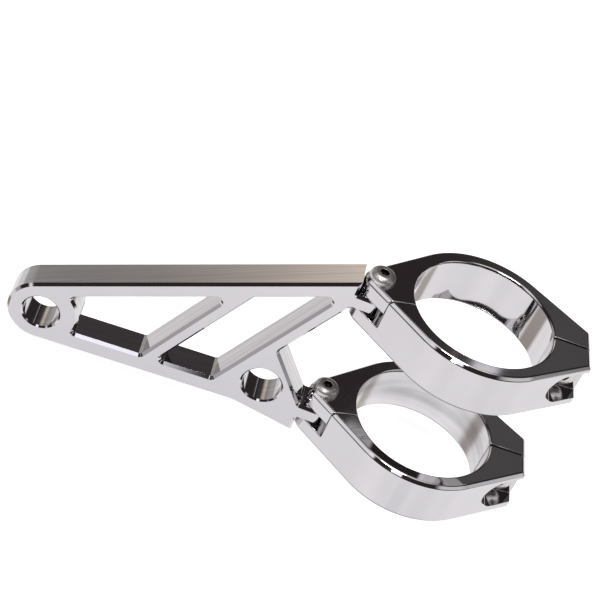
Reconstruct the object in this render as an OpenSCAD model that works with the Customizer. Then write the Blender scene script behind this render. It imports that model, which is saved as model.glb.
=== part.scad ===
// Headlight mounting bracket for one leg of a motorcycle fork.
// Two split clamps grip the fork tube. A flat arm hinges on both and holds the lamp at its eye.
// The fork runs along Z and the arm points towards -X. The origin lies half way up the lower clamp.

/* [Fork clamps] */
// Diameter of the fork tube
fork_d = 41; // [38:0.5:50]
// Height from one clamp to the next
clamp_pitch = 44.2; // [42:0.1:50]
// Height of one clamp, shared by two ears and the tongue between them
clamp_h = 15; // [14:0.1:18]
// Wall of the ring around the tube
ring_wall = 4.6; // [4:0.1:6]
// From the tube to the flat end of the lugs
lug_reach = 11.5; // [11:0.1:13]
// Direction in which the sides of the lugs face
lug_angle = 53.5; // [52:0.5:55]
// From the tube to the hinge axis
hinge_reach = 9.7; // [9.5:0.1:12]
// Radius of the ears at the hinge
ear_r = 4.5; // [4.2:0.05:4.6]
// Direction of the seam beside the hinge, seen from the tube's axis
seam_angle = 162.5; // [160:0.5:164]
// Gap that the clamp screw closes
lug_gap = 0.6; // [0.3:0.1:1.2]
// Gap in the seam beside the hinge
seam_gap = 0.3; // [0.1:0.05:0.4]
// Chamfer around a clamp
clamp_edge = 1; // [0.5:0.1:1.4]
// Chamfer at both ends of the tube's bore
bore_edge = 0.5; // [0.2:0.1:1]

/* [Arm] */
// Thickness of the plate
plate_t = 10; // [9:0.1:10]
// Slope of the top bar
rake = 26.5; // [25:0.5:28]
// Length of the top bar from the hinge axis to the eye
bar_len = 97.9; // [94:0.1:110]
// Height of the bar's top line above the upper clamp, at the hinge axis
bar_lift = 1.8; // [1:0.1:2.3]
// Depth of the top bar
bar_h = 4.9; // [4:0.1:5.5]
// Depth of the lower bar
foot_h = 5.7; // [4.5:0.1:6.5]
// Angle between the top bar and the struts
strut_angle = 35.4; // [34:0.1:37]
// Width of a strut
strut_w = 4.1; // [3.5:0.1:5]
// From one strut to the next
strut_pitch = 17.95; // [16:0.05:20]
// From the hinge axis to the arm's shoulders
shoulder = 4.8; // [4.7:0.05:5.2]
// Angle by which the arm is swung to the back
arm_swing = 3.5; // [0:0.5:20]
// Chamfer along the arm's edges
arm_edge = 0.8; // [0.4:0.1:1]
// Radius in the corners of the openings
corner_r = 1.2; // [0.6:0.1:1.5]

/* [Eye and round hole] */
// Bore of the eye, for the lamp's bolt
eye_d = 10.5; // [8.5:0.1:11]
// Outer radius of the eye
eye_r = 9.8; // [9:0.1:11]
// Wall between the eye's bore and the first window
eye_wall = 5.6; // [4.5:0.1:6]
// Diameter of the round hole
hole_d = 11.5; // [8:0.1:12]
// From the hinge axis to the round hole
hole_x = 17.9; // [17:0.1:19]
// Height of the round hole
hole_z = 12.2; // [11.5:0.1:13]
// Chamfer of both bores
hole_edge = 0.5; // [0.2:0.1:0.8]

/* [Screws] */
// Nominal diameter of all screws
screw_d = 4; // [3:0.5:4]
// Play around a screw in a plain hole
hole_play = 0.06; // [0.03:0.01:0.1]
// Play around a screw in its thread
thread_play = 0.02; // [0.01:0.01:0.04]
// Play above and below a tongue
tongue_play = 0.05; // [0.03:0.01:0.1]
// From the flat end of the lugs to the clamp screw's axis
end_to_screw = 5.4; // [5.2:0.1:5.8]
// Radius of the pocket around the clamp screw's head
pocket_r = 4.9; // [4.5:0.1:5]
// Metal between the pocket and the clamp's top
pocket_roof = 2.1; // [1.8:0.1:2.6]
// Metal that the clamp screw's head pulls on, measured from the split
seat_y = 4.2; // [3.5:0.1:5]

/* [Hidden] */
fork_r = fork_d / 2;
ring_r = fork_r + ring_wall;
end_x = fork_r + lug_reach;
hinge_x = fork_r + hinge_reach;
third = clamp_h / 3;
top_z = clamp_pitch + clamp_h;
half_t = plate_t / 2;
far = 200;
skin = 0.01;
cut_in = 0.5;
past = 1;

// Screws, sized by their nominal diameter
screw_r = screw_d / 2;
button_r = 0.95 * screw_d;
button_h = 0.55 * screw_d;
button_rim = 0.08 * screw_d;
button_flat = 0.5 * screw_d;
button_key = 0.625 * screw_d;
key_depth = 0.35 * screw_d;
tip_edge = 0.1 * screw_d;
tip_gap = 1;
thread_grip = 2 * screw_d;
hinge_screw_len = clamp_h - tip_gap;
clamp_screw_len = seat_y + thread_grip;
lug_screw_x = end_x - end_to_screw;
lug_screw_z = clamp_h - pocket_roof - pocket_r;

$fn = 96;

// The arm is drawn flat: x is the distance from the hinge axis and y is the height.
bar_start = [0, top_z + bar_lift];
foot_corner = [shoulder, 0];
foot_bend = [23.6, 2.85];
notch_rise = 53;
notch_step = 0.8;
notch_foot = [shoulder + notch_step, 2 * third - tongue_play];
notch_top = top_z - 2 * third + tongue_play;
strut_dir = -rake - strut_angle;
strut_start = -0.3;
eye_gap = 0.5;

// Point that lies u along the top bar and v below its top line
function bar_point(u, v) = bar_start + u * [cos(rake), -sin(rake)] - v * [sin(rake), cos(rake)];

// Height of the line that runs v below the top line, at the distance x
function bar_height(x, v) = bar_start.y - x * tan(rake) - v / cos(rake);

// Crossing of the line through p in direction a with the line through q in direction b
function crossing(p, a, q, b) =
    p + [cos(a), sin(a)] * ((q - p).x * sin(b) - (q - p).y * cos(b)) / sin(b - a);

// Point on a strut's side that lies n from the first strut's near side
function strut_side(n) = [0, top_z] + (n + strut_start) * [-sin(strut_dir), cos(strut_dir)];

eye = bar_point(bar_len, eye_r);
to_eye = eye - foot_bend;
foot_dir = atan2(to_eye.y, to_eye.x) - asin(eye_r / norm(to_eye));
foot_end = eye + eye_r * [sin(foot_dir), -cos(foot_dir)];
foot_wall = foot_bend + foot_h * [-sin(foot_dir), cos(foot_dir)];
bar_wall = bar_point(0, bar_h);
end_top = bar_point(bar_len - eye_r - eye_gap, bar_h);
end_dir = (foot_dir - rake) / 2 - 90;

// A window's side between the two bars, from top to bottom
function side_of(point, dir) = [crossing(bar_wall, -rake, point, dir),
                                crossing(foot_wall, foot_dir, point, dir)];

near_side = side_of(strut_side(strut_w), strut_dir);
middle_side = side_of(strut_side(strut_pitch), strut_dir);
far_side = side_of(strut_side(strut_pitch + strut_w), strut_dir);
eye_side = side_of(end_top, end_dir);
window_1 = [far_side[0], eye_side[0], eye_side[1], far_side[1]];
window_2 = [near_side[0], middle_side[0], middle_side[1], near_side[1]];
notch = [crossing(strut_side(0), strut_dir, notch_foot, notch_rise),
         crossing(strut_side(0), strut_dir, [0, notch_top], 0),
         [-plate_t, notch_top], [-plate_t, notch_foot.y], notch_foot];

// Puts a flat drawing into the arm's plane
module in_arm_plane() {
    translate([-hinge_x, 0, 0]) rotate([0, 0, 180 - arm_swing]) rotate([90, 0, 0]) children();
}

// Disc with a chamfer at both rims
module disc(r, h, edge) {
    rotate_extrude() polygon([[0, 0], [r - edge, 0], [r, edge], [r, h - edge], [r - edge, h], [0, h]]);
}

// Outline with rounded corners, grown by the given width
module rounded(points, grow = 0) {
    offset(r = corner_r + grow, $fn = 32) offset(delta = -corner_r) polygon(points);
}

// An opening through the plate, chamfered on both faces
module opening(points) {
    linear_extrude(height = plate_t + past, center = true) rounded(points);
    for (face = [0, 1]) mirror([0, 0, face]) hull() {
        translate([0, 0, half_t - arm_edge - cut_in])
            linear_extrude(height = skin) rounded(points, -cut_in);
        translate([0, 0, half_t + cut_in]) linear_extrude(height = skin) rounded(points, arm_edge + cut_in);
    }
}

// Chamfers both edges of the plate along the line from p to q
module chamfer_line(p, q) {
    run = q - p;
    for (face = [-1, 1])
        translate([p.x, p.y, face * half_t]) rotate([0, 0, atan2(run.y, run.x)]) rotate([45, 0, 0])
            translate([0, -arm_edge / sqrt(2), -arm_edge / sqrt(2)])
                cube([norm(run), arm_edge * sqrt(2), arm_edge * sqrt(2)]);
}

// Bore through the plate at p, chamfered on both faces
module plate_bore(p, r) {
    flare = r + hole_edge + half_t;
    translate(p) rotate_extrude() polygon([
        [0, -plate_t], [flare, -plate_t], [r, hole_edge - half_t], [r, half_t - hole_edge],
        [flare, plate_t], [0, plate_t]]);
}

module plate_outline() {
    start = -plate_t;
    hull() {
        translate([eye.x, eye.y, -half_t]) disc(eye_r, plate_t, arm_edge);
        translate([start, foot_corner.y, arm_edge - half_t])
            cube([skin, bar_height(start, 0) - foot_corner.y, plate_t - 2 * arm_edge]);
        translate([start, foot_corner.y + arm_edge, -half_t])
            cube([skin, bar_height(start, arm_edge) - foot_corner.y - arm_edge, plate_t]);
    }
}

// Cuts the plate back to a tongue beside an ear, with the tongue's edge at the given height
module shoulder_cut(height, out) {
    corner = [shoulder, height];
    translate([-far, out > 0 ? height : height - far, -far]) cube([far + shoulder, far, 2 * far]);
    chamfer_line([-plate_t, height], corner);
    chamfer_line(corner, corner + [0, out * third]);
}

module plate() {
    difference() {
        plate_outline();
        linear_extrude(height = plate_t + past, center = true)
            polygon([2 * foot_corner - foot_bend, foot_bend, foot_end,
                     foot_end - [0, far], foot_corner - [far, far]]);
        chamfer_line(foot_corner, foot_bend);
        chamfer_line(foot_bend, foot_end);
        shoulder_cut(top_z - third - tongue_play, 1);
        shoulder_cut(third + tongue_play, -1);
        opening(notch);
        opening(window_2);
        difference() {
            opening(window_1);
            translate([eye.x, eye.y, -half_t]) disc(eye_d / 2 + eye_wall, plate_t, arm_edge);
        }
        plate_bore(eye, eye_d / 2);
        plate_bore([hole_x, hole_z], hole_d / 2);
    }
}

module arm() {
    color("silver") difference() {
        in_arm_plane() plate();
        translate([-hinge_x, 0, 0]) rotate([0, 0, 180 - arm_swing]) {
            cylinder(h = top_z, r = screw_r + hole_play);
            linear_extrude(height = top_z) difference() {
                translate([-2 * plate_t, -plate_t]) square(2 * plate_t);
                circle(r = half_t);
            }
        }
    }
}

// Half width of the lugs at the distance x, inside a ring of radius r
function lug_width(r, x) = (r - cos(lug_angle) * x) / sin(lug_angle);

// A whole clamp's outer shape with its chamfers
module clamp_outline() {
    face = lug_width(ring_r, end_x);
    top = lug_width(ring_r - clamp_edge, end_x - clamp_edge);
    hull() {
        disc(ring_r, clamp_h, clamp_edge);
        translate([-hinge_x, 0, 0]) disc(ear_r, clamp_h, clamp_edge);
        translate([end_x - skin, -face, clamp_edge]) cube([skin, 2 * face, clamp_h - 2 * clamp_edge]);
        translate([end_x - clamp_edge, -top, 0]) cube([skin, 2 * top, clamp_h]);
    }
}

module fork_bore() {
    flare = fork_r + bore_edge;
    rotate_extrude() polygon([
        [0, -past], [flare + past, -past], [fork_r, bore_edge], [fork_r, clamp_h - bore_edge],
        [flare + past, clamp_h + past], [0, clamp_h + past]]);
}

// One half of a clamp without its screw holes: the front half, which has the lower ear
module half_blank() {
    seam = far * [cos(seam_angle), sin(seam_angle)];
    difference() {
        clamp_outline();
        fork_bore();
        translate([0, 0, -past]) linear_extrude(height = clamp_h + 2 * past) {
            offset(delta = seam_gap / 2) polygon([[0, 0], [far, 0], [far, far], [-far, far], seam]);
            translate([0, -lug_gap / 2]) square([far, lug_gap]);
        }
        translate([0, 0, third]) linear_extrude(height = clamp_h)
            offset(delta = seam_gap / 2) polygon([[0, 0], seam, [seam.x, -seam.y]]);
    }
}

module hinge_hole(play) {
    translate([-hinge_x, 0, -past]) cylinder(h = clamp_h + 2 * past, r = screw_r + play);
}

module lug_hole(play) {
    translate([lug_screw_x, 0, lug_screw_z]) rotate([90, 0, 0])
        cylinder(h = far, r = screw_r + play, center = true);
}

// The rear half is the same blank turned over, so its ear is the upper one
module rear_half() {
    color("silver") difference() {
        translate([0, 0, clamp_h]) rotate([180, 0, 0]) half_blank();
        hinge_hole(hole_play);
        lug_hole(thread_play);
    }
}

module front_half() {
    color("silver") difference() {
        half_blank();
        hinge_hole(thread_play);
        lug_hole(hole_play);
        translate([lug_screw_x, -seat_y, lug_screw_z]) {
            rotate([90, 0, 0]) cylinder(h = far, r = pocket_r);
            translate([0, -far, -pocket_r]) cube([far, far, 2 * pocket_r]);
        }
    }
}

// Shank that hangs below z = 0
module shank(len) {
    translate([0, 0, -len]) rotate_extrude()
        polygon([[0, 0], [screw_r - tip_edge, 0], [screw_r, tip_edge], [screw_r, len], [0, len]]);
}

// Screw with a low domed head and a hexagon socket
module button_screw(len) {
    dome = [for (turn = [0:10:90])
        [button_flat + (button_r - button_flat) * cos(turn),
         button_rim + (button_h - button_rim) * sin(turn)]];
    color("gainsboro") difference() {
        union() {
            shank(len);
            rotate_extrude() polygon(concat([[0, 0], [button_r, 0]], dome, [[0, button_h]]));
        }
        translate([0, 0, button_h - key_depth])
            cylinder(h = key_depth + past, r = button_key / sqrt(3), $fn = 6);
    }
}

module hinge_screw() {
    translate([-hinge_x, 0, clamp_h]) button_screw(hinge_screw_len);
}

module clamp_screw() {
    translate([lug_screw_x, -seat_y, lug_screw_z]) rotate([90, 0, 0]) button_screw(clamp_screw_len);
}

// Puts a piece drawn on z = 0 into the lower clamp (level 0) or the upper one (level 1)
module at_level(level) {
    translate([0, 0, level * clamp_pitch - clamp_h / 2]) children();
}

at_level(0) arm();
at_level(1) rear_half();  // upper_rear_half
at_level(1) front_half();  // upper_front_half
at_level(1) hinge_screw();  // upper_hinge_screw
at_level(1) clamp_screw();  // upper_clamp_screw
at_level(0) rear_half();  // lower_rear_half
at_level(0) front_half();  // lower_front_half
at_level(0) hinge_screw();  // lower_hinge_screw
at_level(0) clamp_screw();  // lower_clamp_screw
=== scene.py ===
# %% [markdown]
# # A polished headlight bracket for a fork
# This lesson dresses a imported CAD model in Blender. The bracket is milled from aluminium, polished
# until it mirrors the room, and chromed. On such a part the finish is little more than its
# reflections, so half of the work is the material and the other half is the studio around it.

# %% Load the frame
import math

import bpy
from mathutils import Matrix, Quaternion, Vector


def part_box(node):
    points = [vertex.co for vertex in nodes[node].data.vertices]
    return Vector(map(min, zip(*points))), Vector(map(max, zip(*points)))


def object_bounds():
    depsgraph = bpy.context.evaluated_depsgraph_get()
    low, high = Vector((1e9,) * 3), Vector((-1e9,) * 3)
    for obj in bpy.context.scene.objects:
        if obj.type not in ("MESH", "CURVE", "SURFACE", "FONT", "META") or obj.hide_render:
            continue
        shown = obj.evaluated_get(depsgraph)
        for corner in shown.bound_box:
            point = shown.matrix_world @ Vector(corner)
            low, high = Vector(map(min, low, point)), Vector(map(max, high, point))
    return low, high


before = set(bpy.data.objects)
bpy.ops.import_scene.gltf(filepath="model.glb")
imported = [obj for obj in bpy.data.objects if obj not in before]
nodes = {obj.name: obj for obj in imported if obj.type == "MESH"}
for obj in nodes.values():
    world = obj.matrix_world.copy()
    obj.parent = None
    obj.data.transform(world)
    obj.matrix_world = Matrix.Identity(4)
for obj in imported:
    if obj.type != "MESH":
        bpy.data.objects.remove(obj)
cad_low, cad_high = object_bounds()
MM = 0.001
print("nodes:", sorted(nodes))
print("size in mm:", [round(v / MM, 1) for v in cad_high - cad_low])

# %% [markdown]
# Both geometry nodes and shaders are trees of nodes. Most of their code would be about filling in
# sockets and linking them, so one helper does both, and each node can be read in one go: what it
# is, where it stands in the editor, and what its inputs get.

# %% A helper that builds node trees
def add_node(tree, kind, place, inputs=None, **settings):
    """A node with its settings. Each input gets a value, or a link from another node's output."""
    made = tree.nodes.new(kind)
    made.location = place
    for key, value in settings.items():
        setattr(made, key, value)
    for key, value in (inputs or {}).items():
        if isinstance(value, bpy.types.NodeSocket):
            tree.links.new(value, made.inputs[key])
        else:
            made.inputs[key].default_value = value
    return made


# %% [markdown]
# ## Edges and curves
# The CAD faces arrive as loose patches, so a bore would show each flat facet as a stripe. On the
# real part a bore is turned in one sweep. The cure could be a finer CAD mesh, but shading is cheaper:
# a small geometry node group welds the patches and calls only the steep edges sharp. A narrow bevel
# then breaks those edges, because a real milled edge is never a knife, and its thin line of light is
# what tells the eye that two polished faces meet.

# %% A node group that welds and smooths
WELD = 0.0005 * MM
SHARP_ANGLE = math.radians(22)


def milled_surface():
    """The node group: weld the patches, then shade them smooth except across steep edges."""
    group = bpy.data.node_groups.new("milled surface", "GeometryNodeTree")
    group.interface.new_socket("Geometry", in_out="INPUT", socket_type="NodeSocketGeometry")
    group.interface.new_socket("Geometry", in_out="OUTPUT", socket_type="NodeSocketGeometry")
    start = add_node(group, "NodeGroupInput", (-600, 0))
    weld = add_node(group, "GeometryNodeMergeByDistance", (-400, 0), {
        "Geometry": start.outputs[0], "Distance": WELD})
    angle = add_node(group, "GeometryNodeInputMeshEdgeAngle", (-400, -200))
    steep = add_node(group, "FunctionNodeCompare", (-200, -200), {
        "A": angle.outputs["Unsigned Angle"], "B": SHARP_ANGLE}, operation="GREATER_THAN")
    shade = add_node(group, "GeometryNodeSetMeshNormal", (0, 0), {
        "Mesh": weld.outputs["Geometry"], "Edge Sharpness": steep.outputs["Result"]})
    add_node(group, "NodeGroupOutput", (200, 0), {0: shade.outputs["Mesh"]})
    return group


surface_group = milled_surface()
print("edges stay sharp from degrees:", round(math.degrees(SHARP_ANGLE)))

# %% Break the edges
EDGE_BREAK = 0.24 * MM
BEVEL_STEPS = 2
STILL_FLAT = math.radians(0.05)
LARGE_FACES_COUNT = 90


def break_edges(node):
    """Puts the node group and a narrow bevel on a CAD node, as modifiers."""
    smooth = node.modifiers.new("milled surface", "NODES")
    smooth.node_group = surface_group
    flats = node.modifiers.new("flat faces", "DECIMATE")
    flats.decimate_type = "DISSOLVE"
    flats.angle_limit = STILL_FLAT
    bevel = node.modifiers.new("broken edges", "BEVEL")
    bevel.width = EDGE_BREAK
    bevel.segments = BEVEL_STEPS
    bevel.limit_method = "ANGLE"
    bevel.angle_limit = SHARP_ANGLE
    bevel.miter_outer = "MITER_ARC"
    calm = node.modifiers.new("calm normals", "WEIGHTED_NORMAL")
    calm.keep_sharp = True
    calm.weight = LARGE_FACES_COUNT


for name in sorted(nodes):
    break_edges(nodes[name])
print("edges broken by mm:", EDGE_BREAK / MM)

# %% [markdown]
# ## Materials
# A mirror finish is a metal with very low roughness. A perfect mirror looks like a drawing, though.
# Real polished metal keeps faint marks from the cutter and from the polishing wheel, so noise
# changes the roughness a little and a very shallow bump bends the reflections. A noise seldom leaves
# the middle of its range, so where its tones have to show, that middle is spread.

# %% Helpers for shades and masks
NOISE_MIDDLE = (0.35, 0.65)


def map_range(tree, place, value, span, result, **settings):
    """A number that runs over result while value runs over span."""
    made = add_node(tree, "ShaderNodeMapRange", place, {
        "Value": value, "From Min": span[0], "From Max": span[1],
        "To Min": result[0], "To Max": result[1]}, **settings)
    return made.outputs["Result"]


def maths(tree, operation, place, *values):
    """The result of a Math node."""
    made = add_node(tree, "ShaderNodeMath", place, dict(enumerate(values)), operation=operation)
    return made.outputs[0]


def vector_maths(tree, operation, place, *values):
    """The result of a Vector Math node. A length and a dot product are numbers."""
    made = add_node(tree, "ShaderNodeVectorMath", place, dict(enumerate(values)), operation=operation)
    return made.outputs["Value" if operation in ("LENGTH", "DOT_PRODUCT") else "Vector"]


def stretched_noise(tree, place, coords, scale, **fineness):
    """A noise with a scale of its own along each axis, so that it can run as lines."""
    stretch = add_node(tree, "ShaderNodeMapping", (place[0] - 200, place[1]), {
        "Vector": coords, "Scale": scale})
    noise = add_node(tree, "ShaderNodeTexNoise", place, {
        "Vector": stretch.outputs["Vector"], "Scale": 1.0, **fineness})
    return noise.outputs["Fac"]


def empty_material(name):
    material = bpy.data.materials.new(name)
    material.use_nodes = True
    material.node_tree.nodes.clear()
    return material


# %% [markdown]
# All finishes of the bracket share one recipe. Two noises are read in object space, so they stay on
# the metal when the part moves. The coarse one is the slow wave that a polishing wheel leaves, and
# the fine one is stretched along one axis, as cutter marks are. Chrome mirrors about two thirds of
# the light, so its colour is a light grey and not white.

# %% The recipe for polished metal
WAVE_SCALE = 90.0


def polished_metal(name, colour, tint, roughness, streaks, wave_depth, streak_depth):
    """The material. Its shader is named metal, so that a later step can add to it."""
    material = empty_material(name)
    tree = material.node_tree
    place = add_node(tree, "ShaderNodeTexCoord", (-1200, 0)).outputs["Object"]
    coarse = add_node(tree, "ShaderNodeTexNoise", (-780, 200), {
        "Vector": place, "Scale": WAVE_SCALE, "Detail": 3.0}).outputs["Fac"]
    fine = stretched_noise(tree, (-780, -200), place, streaks, Detail=4.0, Roughness=0.6)
    shade = add_node(tree, "ShaderNodeMix", (-420, 320), {
        "Factor": coarse, "A": (*colour, 1), "B": (*tint, 1)}, data_type="RGBA")
    rough = map_range(tree, (-420, 60), fine, (0.0, 1.0), roughness)
    wave = add_node(tree, "ShaderNodeBump", (-420, -160), {
        "Height": coarse, "Strength": 1.0, "Distance": wave_depth})
    marks = add_node(tree, "ShaderNodeBump", (-220, -260), {
        "Height": fine, "Strength": 1.0, "Distance": streak_depth, "Normal": wave.outputs["Normal"]})
    shader = add_node(tree, "ShaderNodeBsdfPrincipled", (0, 0), {
        "Base Color": shade.outputs["Result"], "Metallic": 1.0, "Roughness": rough,
        "Normal": marks.outputs["Normal"]}, name="metal")
    add_node(tree, "ShaderNodeOutputMaterial", (280, 0), {"Surface": shader.outputs["BSDF"]})
    return material


# %% The chromed finishes
CHROME = (0.64, 0.63, 0.645)
CHROME_LIGHT = (0.69, 0.68, 0.695)
MIRROR = (0.02, 0.06)
WAVE_DEPTH = 0.001 * MM
ARM_STREAKS = (60, 1400, 700)
ARM_STREAK_DEPTH = 0.0004 * MM
CLAMP_STREAKS = (200, 200, 3000)
CLAMP_STREAK_DEPTH = 0.0002 * MM


def chromed(name, streaks, streak_depth):
    return polished_metal(name, CHROME, CHROME_LIGHT, MIRROR, streaks, WAVE_DEPTH, streak_depth)


arm_metal = chromed("polished arm", ARM_STREAKS, ARM_STREAK_DEPTH)
clamp_metal = chromed("polished clamp", CLAMP_STREAKS, CLAMP_STREAK_DEPTH)
bored_metal = chromed("polished clamp with satin bore", CLAMP_STREAKS, CLAMP_STREAK_DEPTH)
print("chrome:", arm_metal.name, "/", clamp_metal.name, "/", bored_metal.name)

# %% [markdown]
# Some faces need more than the recipe gives. Each such addition is a pattern that shows only where a
# mask is 1. It is put between the shader and what was linked to it before, so additions can follow
# each other without knowing of each other.

# %% Helpers that add to a finish
def feeding(shader, socket):
    """The output that is linked to this socket so far."""
    return shader.inputs[socket].links[0].from_socket


def tinted(material, mask, pattern, shades, row):
    """Multiplies the metal's colour by pattern, spread over shades, where mask is 1."""
    tree = material.node_tree
    shader = tree.nodes["metal"]
    mix = add_node(tree, "ShaderNodeMix", (-200, row), data_type="RGBA", blend_type="MULTIPLY", inputs={
        "Factor": mask, "A": feeding(shader, "Base Color"),
        "B": map_range(tree, (-420, row), pattern, NOISE_MIDDLE, shades)})
    tree.links.new(mix.outputs["Result"], shader.inputs["Base Color"])


def bumped(material, mask, pattern, depth, row):
    """Bends the metal's normal by pattern where mask is 1."""
    tree = material.node_tree
    shader = tree.nodes["metal"]
    bump = add_node(tree, "ShaderNodeBump", (-200, row), {
        "Strength": mask, "Distance": depth, "Height": pattern, "Normal": feeding(shader, "Normal")})
    tree.links.new(bump.outputs["Normal"], shader.inputs["Normal"])


# %% [markdown]
# The two flat sides of the arm met the wheel squarely and are true mirrors. The narrow faces around it
# and in its windows were finished along their length, and still show it as faint lines. The mask for
# them is the normal in object space, which turns with the arm: a narrow face doesn't look along Y.

# %% The brushed edges
FLAT_SIDE = 0.7
LINE_PITCH = (22, 900, 22)
LINE_RANGE = (0.90, 1.07)
LINE_DEPTH = 0.0006 * MM


def brushed_edges(material):
    tree = material.node_tree
    place = add_node(tree, "ShaderNodeTexCoord", (-1200, -700)).outputs
    facing = add_node(tree, "ShaderNodeSeparateXYZ", (-1000, -700), {0: place["Normal"]})
    turned = maths(tree, "ABSOLUTE", (-820, -700), facing.outputs["Y"])
    edge = maths(tree, "LESS_THAN", (-640, -700), turned, FLAT_SIDE)
    lines = stretched_noise(tree, (-820, -900), place["Object"], LINE_PITCH, Detail=3.0)
    tinted(material, edge, lines, LINE_RANGE, 600)
    bumped(material, edge, lines, LINE_DEPTH, -480)


brushed_edges(arm_metal)
print("lines where the normal's Y is below:", FLAT_SIDE)

# %% [markdown]
# The wheel doesn't reach everywhere. The bore of the lower clamp is left satin, as the tube hides it.
# It needs no second material slot, because a bore is easy to tell from the rest by its place: it is
# all that lies closer to the fork's axis than the middle of the chamfer around it. The same mask adds
# the low ripple of the boring bar, which runs around the axis.

# %% The satin bore
BORE_REACH = 20.75 * MM
SATIN = 0.2
RIPPLE_PITCH = (25, 25, 170)
RIPPLE_RANGE = (0.74, 1.12)
RIPPLE_DEPTH = 0.08 * MM


def satin_bore(material):
    tree = material.node_tree
    shader = tree.nodes["metal"]
    place = add_node(tree, "ShaderNodeTexCoord", (-1200, -700)).outputs["Object"]
    across = vector_maths(tree, "MULTIPLY", (-1000, -700), place, (1, 1, 0))
    reach = vector_maths(tree, "LENGTH", (-820, -700), across)
    inside = maths(tree, "LESS_THAN", (-640, -700), reach, BORE_REACH)
    ripple = stretched_noise(tree, (-820, -900), place, RIPPLE_PITCH, Detail=2.0)
    gloss = add_node(tree, "ShaderNodeMix", (-200, 120), data_type="FLOAT", inputs={
        "Factor": inside, "A": feeding(shader, "Roughness"), "B": SATIN})
    tree.links.new(gloss.outputs["Result"], shader.inputs["Roughness"])
    tinted(material, inside, ripple, RIPPLE_RANGE, 600)
    bumped(material, inside, ripple, RIPPLE_DEPTH, -480)


satin_bore(bored_metal)
print("satin inside mm:", BORE_REACH / MM)

# %% [markdown]
# The screws are stainless steel, tumbled and not polished, so they look dull and pale beside the
# chrome. Two things make a button head read as one at this size: a socket painted near black as the
# shade that fills its hollow, and a thread on the shank. Both are found by their place along the
# screw's axis and across it, so one recipe serves all four screws.

# %% The recipe for a screw
STEEL = (0.68, 0.66, 0.64)
STEEL_LIGHT = (0.80, 0.78, 0.76)
TUMBLED = (0.32, 0.48)
GRAIN = (2000, 2000, 2000)
DENT_DEPTH = 0.002 * MM
GRAIN_DEPTH = 0.006 * MM
SOCKET_REACH = 1.46 * MM
SOCKET_SKIN = 0.12 * MM
# Painted shade: the near black colour that stands in for the shade inside the socket.
SOCKET_PAINTED_SHADE = (0.05, 0.047, 0.045)
SHANK_REACH = 2.06 * MM
HEAD_HEIGHT = 2.2 * MM
THREAD_PITCH = 0.7 * MM
THREAD_DEPTH = 0.25 * MM


def screw_metal(name, top, axis):
    """Satin steel for a screw whose head has its top's middle at top and looks along axis."""
    material = polished_metal(name, STEEL, STEEL_LIGHT, TUMBLED, GRAIN, DENT_DEPTH, GRAIN_DEPTH)
    tree = material.node_tree
    shader = tree.nodes["metal"]
    place = add_node(tree, "ShaderNodeTexCoord", (-1400, -700)).outputs["Object"]
    offset = vector_maths(tree, "SUBTRACT", (-1200, -700), place, top)
    along = vector_maths(tree, "DOT_PRODUCT", (-1000, -600), offset, axis)
    on_axis = vector_maths(tree, "PROJECT", (-1000, -800), offset, axis)
    off_axis = vector_maths(tree, "SUBTRACT", (-820, -800), offset, on_axis)
    across = vector_maths(tree, "LENGTH", (-640, -800), off_axis)

    def zone(reach, depth, row):
        """1 closer to the axis than reach and deeper below the head's top than depth."""
        near = maths(tree, "LESS_THAN", (-440, row), across, reach)
        deep = maths(tree, "LESS_THAN", (-440, row - 180), along, -depth)
        return maths(tree, "MULTIPLY", (-260, row), near, deep)

    # Painted shade: the socket's walls and floor get a near black colour where shade fills the hollow.
    dark = add_node(tree, "ShaderNodeMix", (-200, 400), data_type="RGBA", inputs={
        "Factor": zone(SOCKET_REACH, SOCKET_SKIN, -600), "A": feeding(shader, "Base Color"),
        "B": (*SOCKET_PAINTED_SHADE, 1)})
    tree.links.new(dark.outputs["Result"], shader.inputs["Base Color"])
    turns = maths(tree, "MULTIPLY", (-820, -1100), along, math.tau / THREAD_PITCH)
    crest = maths(tree, "SINE", (-640, -1100), turns)
    bumped(material, zone(SHANK_REACH, HEAD_HEIGHT, -1000), crest, THREAD_DEPTH, -480)
    return material


# %% [markdown]
# Each CAD node keeps its shape and gets its finish. A hinge screw stands upright with its head on
# top, and a clamp screw lies across with its head to the front, so the box of the node and this one
# direction give the place of the head.

# %% Dress the CAD nodes
def dress(node, material):
    node.data.materials.clear()
    node.data.materials.append(material)
    print(node.name, "->", material.name)


for name, node in sorted(nodes.items()):
    if name.endswith("_screw"):
        low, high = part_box(name)
        upright = name.endswith("hinge_screw")
        axis = Vector((0, 0, 1)) if upright else Vector((0, -1, 0))
        centre = (Vector(low) + Vector(high)) / 2
        half_length = abs(axis.dot(Vector(high) - Vector(low))) / 2
        finish = screw_metal("satin " + name.replace("_", " "), centre + axis * half_length, axis)
        dress(node, finish)
    elif name == "arm":
        dress(node, arm_metal)
    elif name.startswith("lower"):
        dress(node, bored_metal)
    else:
        dress(node, clamp_metal)

# %% [markdown]
# ## The studio
# The floor is white to the camera. It keeps the object's shadow, because near the object only a part
# of its white is its own glow and the rest is lamp light. Further off the lamps fade, so there the
# glow grows to a full white, and no horizon shows from a low angle. Metal would show this floor
# evenly white too. So it is hidden from the reflections, and the world's paper stands for it there,
# because the paper can be shaded by direction.

# %% Floor
FLOOR_DROP = 6 * MM
FLOOR_SIZE = 6.0
FLOOR_PAINT = (0.9, 0.9, 0.9, 1)
WHITE = (1, 1, 1, 1)
FLOOR_GLOW = 0.80
GLOW_STARTS = 0.25
GLOW_ENDS = 0.9


def square(name, size):
    """A flat square around the origin."""
    mesh = bpy.data.meshes.new(name)
    half = size / 2
    corners = [(-half, -half, 0), (half, -half, 0), (half, half, 0), (-half, half, 0)]
    mesh.from_pydata(corners, [], [(0, 1, 2, 3)])
    made = bpy.data.objects.new(name, mesh)
    bpy.context.scene.collection.objects.link(made)
    return made


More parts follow.
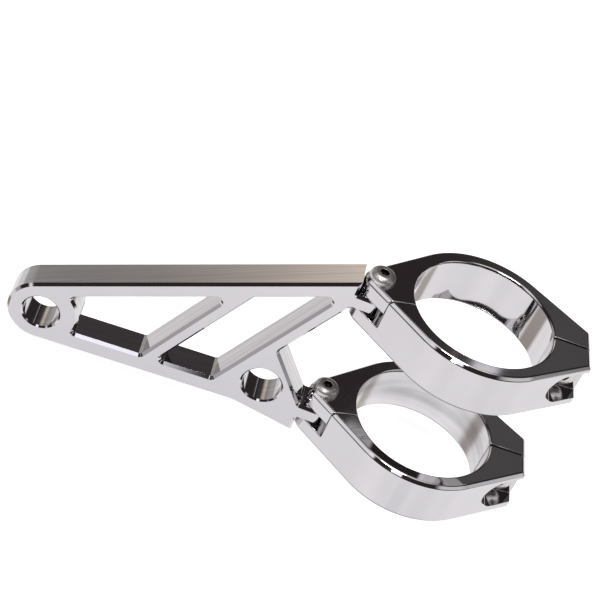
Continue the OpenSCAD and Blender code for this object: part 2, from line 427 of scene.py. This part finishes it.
def floor_material():
    """White to the camera, to mirrors and through glass, and pale paint to the lamps."""
    material = empty_material("white floor")
    tree = material.node_tree
    rays = add_node(tree, "ShaderNodeLightPath", (-900, -100)).outputs
    seen = maths(tree, "MAXIMUM", (-720, -100), rays["Is Camera Ray"], rays["Is Glossy Ray"])
    seen = maths(tree, "MAXIMUM", (-580, -160), seen, rays["Is Transmission Ray"])
    place = add_node(tree, "ShaderNodeTexCoord", (-1100, -420)).outputs["Object"]
    far = vector_maths(tree, "LENGTH", (-900, -420), place)
    fade = map_range(tree, (-700, -420), far, (GLOW_STARTS, GLOW_ENDS), (FLOOR_GLOW, 1.0),
                     interpolation_type="SMOOTHSTEP")
    power = maths(tree, "MULTIPLY", (-440, -220), seen, fade)
    paint = add_node(tree, "ShaderNodeBsdfDiffuse", (-300, 100), {"Color": FLOOR_PAINT})
    glow = add_node(tree, "ShaderNodeEmission", (-300, -100), {"Color": WHITE, "Strength": power})
    both = add_node(tree, "ShaderNodeAddShader", (0, 0), {0: paint.outputs[0], 1: glow.outputs[0]})
    add_node(tree, "ShaderNodeOutputMaterial", (200, 0), {"Surface": both.outputs[0]})
    return material


floor = square("floor", FLOOR_SIZE)
floor.location.z = cad_low.z - FLOOR_DROP
floor.data.materials.append(floor_material())
floor.visible_glossy = False
print("floor at z =", round(floor.location.z / MM, 2), "mm")

# %% [markdown]
# A mirror is lit by what stands around it. The photograph was taken in a room, and its tones tell
# what stood where: pale paper all around below the horizon, a dark room above it, a warm wall behind
# on the left, and bright panels to both sides and above the camera. An image of a room could stand
# in for it, but a few soft panels in the world shader are easier to move and need no file. First
# come the paper, with a slow change of tone over it, and the dark room.

# %% Paper below and a dark room above
PAPER = (1.035, 1.01, 1.02)
ROOM = (0.032, 0.025, 0.026)
HORIZON = (-0.10, 0.04)
CLOUD_SCALE = 1.4
CLOUD_RANGE = (0.94, 1.06)

world = bpy.data.worlds.new("studio")
bpy.context.scene.world = world
world.use_nodes = True
sky = world.node_tree
sky.nodes.clear()
coords = add_node(sky, "ShaderNodeTexCoord", (-1800, 0)).outputs["Generated"]
direction = add_node(sky, "ShaderNodeSeparateXYZ", (-1600, 0), {0: coords}).outputs
azimuth = maths(sky, "ARCTAN2", (-1400, 100), direction["X"], direction["Y"])
height = maths(sky, "ARCSINE", (-1400, -100), direction["Z"])
clouds = add_node(sky, "ShaderNodeTexNoise", (-1400, -320), {
    "Vector": coords, "Scale": CLOUD_SCALE, "Detail": 1.0}).outputs["Fac"]
paper = add_node(sky, "ShaderNodeMix", (-1000, -320), data_type="RGBA", blend_type="MULTIPLY", inputs={
    "Factor": 1.0, "A": (*PAPER, 1),
    "B": map_range(sky, (-1200, -320), clouds, NOISE_MIDDLE, CLOUD_RANGE)})
room = add_node(sky, "ShaderNodeMix", (-760, 0), data_type="RGBA", inputs={
    "Factor": map_range(sky, (-1000, -100), height, HORIZON, (0.0, 1.0)),
    "A": paper.outputs["Result"], "B": (*ROOM, 1)})
print("the room begins at degrees:", [round(math.degrees(v), 1) for v in HORIZON])

# %% [markdown]
# Each panel is a patch of directions: an azimuth that counts from +Y towards +X, and a height. All
# its numbers are degrees, apart from the colour. A later panel covers an earlier one.

# %% The panels
PANELS = [
    # name, azimuth, height, half width, half height, softness, colour
    ("near end of the paper", 180, -14, 62, 11, 6, (1.14, 1.11, 1.15)),
    ("shade of the camera", 178, -45, 9, 5, 5, (0.90, 0.88, 0.93)),
    ("far end of the paper", -33, -16, 12, 6, 5, (0.80, 0.77, 0.77)),
    ("table edge on the left", -106, -6, 12, 7, 4, (0.52, 0.49, 0.50)),
    ("shade under the bracket", 0, -76, 180, 14, 8, (0.36, 0.35, 0.38)),
    ("shade behind the bracket", 16, -48, 22, 13, 6, (0.56, 0.555, 0.55)),
    ("bench on the left", -79, -42, 14, 10, 5, (0.40, 0.35, 0.32)),
    ("bench on the right", 64, -38, 13, 6, 5, (0.50, 0.46, 0.43)),
    ("ceiling", 0, 84, 180, 16, 5, (0.98, 0.93, 0.86)),
    ("window on the left", -106, 38, 19, 15, 4, (0.95, 0.94, 0.96)),
    ("near edge of the window", -121, 36, 4, 12, 3, (1.10, 1.09, 1.12)),
    ("far edge of the window", -91, 38, 5, 14, 4, (0.66, 0.65, 0.67)),
    ("soft box above the camera", -164.8, 50, 8, 5, 1.5, (1.30, 1.26, 1.40)),
    ("card on the right", 116, 34, 20, 9, 5, (0.75, 0.73, 0.73)),
    ("low card on the right", 98, 12, 4, 13, 3, (0.95, 0.93, 0.95)),
    ("grey wall behind", -44, 14, 14, 20, 10, (0.48, 0.46, 0.45)),
    ("warm wall behind", -18, 29, 8, 6, 7, (1.10, 0.97, 0.84)),
    ("dim wall behind", -2, 41, 8, 6, 4, (0.058, 0.050, 0.053)),
    ("corner beside the wall", 20, 35, 3, 9, 3, (0.088, 0.082, 0.084)),
    ("pane in the back wall", 17.85, 38.4, 0.45, 1.5, 0.15, (0.88, 0.87, 0.91)),
    ("small pane in the back wall", 15.0, 42.0, 0.6, 1.5, 0.1, (0.57, 0.56, 0.55)),
    ("glazing bar", 16.65, 39.5, 0.1, 2.5, 0.1, (0.16, 0.13, 0.12)),
]


def band(angle, centre, half, soft, place, wraps=False):
    """1 inside a band of angles around centre, 0 outside it, with soft edges. Degrees."""
    off = maths(sky, "SUBTRACT", place, angle, math.radians(centre))
    if wraps:
        off = maths(sky, "WRAP", place, off, math.pi, -math.pi)
    off = maths(sky, "ABSOLUTE", place, off)
    edge = (math.radians(half - soft), math.radians(half + soft))
    return map_range(sky, place, off, edge, (1.0, 0.0), interpolation_type="SMOOTHSTEP")


colour_so_far = room.outputs["Result"]
for row, (name, at, high, half_wide, half_high, soft, colour) in enumerate(PANELS):
    place = (-500, 400 - 200 * row)
    wide_mask = band(azimuth, at, half_wide, soft, place, wraps=True)
    high_mask = band(height, high, half_high, soft, place)
    mix = add_node(sky, "ShaderNodeMix", (-200, place[1]), data_type="RGBA", label=name, inputs={
        "Factor": maths(sky, "MULTIPLY", place, wide_mask, high_mask),
        "A": colour_so_far, "B": (*colour, 1)})
    colour_so_far = mix.outputs["Result"]
print("panels:", [panel[0] for panel in PANELS])

# %% [markdown]
# The camera doesn't see the room. Where it looks past the floor, it gets plain white.

# %% White for the camera
rays = add_node(sky, "ShaderNodeLightPath", (100, 300)).outputs
around = add_node(sky, "ShaderNodeBackground", (100, 0), {"Color": colour_so_far, "Strength": 1.0})
white = add_node(sky, "ShaderNodeBackground", (100, -160), {"Color": WHITE, "Strength": 1.0})
pick = add_node(sky, "ShaderNodeMixShader", (360, 0), {
    0: rays["Is Camera Ray"], 1: around.outputs[0], 2: white.outputs[0]})
add_node(sky, "ShaderNodeOutputWorld", (560, 0), {"Surface": pick.outputs[0]})
print("nodes in the world:", len(sky.nodes))

# %% [markdown]
# Two soft lamps light what isn't metal and give the satin screws their highlights. The key lamp hangs
# where the soft box is, and the other one right above the bracket, as on a copy stand. From there
# they mirror only in the chamfers and in the rounded edges.

# %% Lamps
LAMPS = [
    # name, metres from the bracket's middle, metres across, watts
    ("key lamp", (-0.19, -0.59, 0.77), 0.10, 1.2),
    ("top lamp", (-0.03, -0.10, 0.9), 0.3, 2.5),
]


def soft_lamp(name, place, aim, size, power):
    light = bpy.data.lights.new(name, "AREA")
    light.shape = "DISK"
    light.size = size
    light.energy = power
    lamp = bpy.data.objects.new(name, light)
    lamp.location = place
    lamp.rotation_mode = "QUATERNION"
    lamp.rotation_quaternion = (aim - place).to_track_quat("-Z", "Y")
    bpy.context.scene.collection.objects.link(lamp)
    print(name, "of", power, "W at", [round(v, 2) for v in place])


middle = (cad_low + cad_high) / 2
for name, offset, size, power in LAMPS:
    soft_lamp(name, middle + Vector(offset), middle, size, power)

# %% [markdown]
# ## The camera
# The photograph was taken with a long lens from above and in front. Its place was worked out from
# the rims of the bores and from the corners and edges of the clamps. The camera is rolled, so that
# the fork's axis leans to the right in the picture.

# %% Camera
CAMERA_PLACE = Vector((-130.4, -429.5, 377.4)) * MM
VIEW_AZIMUTH = math.radians(10.846)
VIEW_DROP = math.radians(38.039)
VIEW_ROLL = math.radians(25.527)
LENS = 121.1
SENSOR = 36.0
SEES_FROM = 0.01
SEES_TO = 20

forward = Vector((math.sin(VIEW_AZIMUTH) * math.cos(VIEW_DROP),
                  math.cos(VIEW_AZIMUTH) * math.cos(VIEW_DROP), -math.sin(VIEW_DROP)))
camera_data = bpy.data.cameras.new("camera")
camera_data.lens = LENS
camera_data.sensor_width = SENSOR
camera_data.clip_start = SEES_FROM
camera_data.clip_end = SEES_TO
camera = bpy.data.objects.new("camera", camera_data)
camera.location = CAMERA_PLACE
camera.rotation_mode = "QUATERNION"
camera.rotation_quaternion = forward.to_track_quat("-Z", "Y") @ Quaternion((0, 0, 1), VIEW_ROLL)
bpy.context.scene.collection.objects.link(camera)
bpy.context.scene.camera = camera
print("camera looks along:", [round(v, 4) for v in forward])

# %% [markdown]
# ## Closing
# The view transform is Standard, so that white stays white.

# %% Set the view transform
bpy.context.scene.view_settings.view_transform = "Standard"
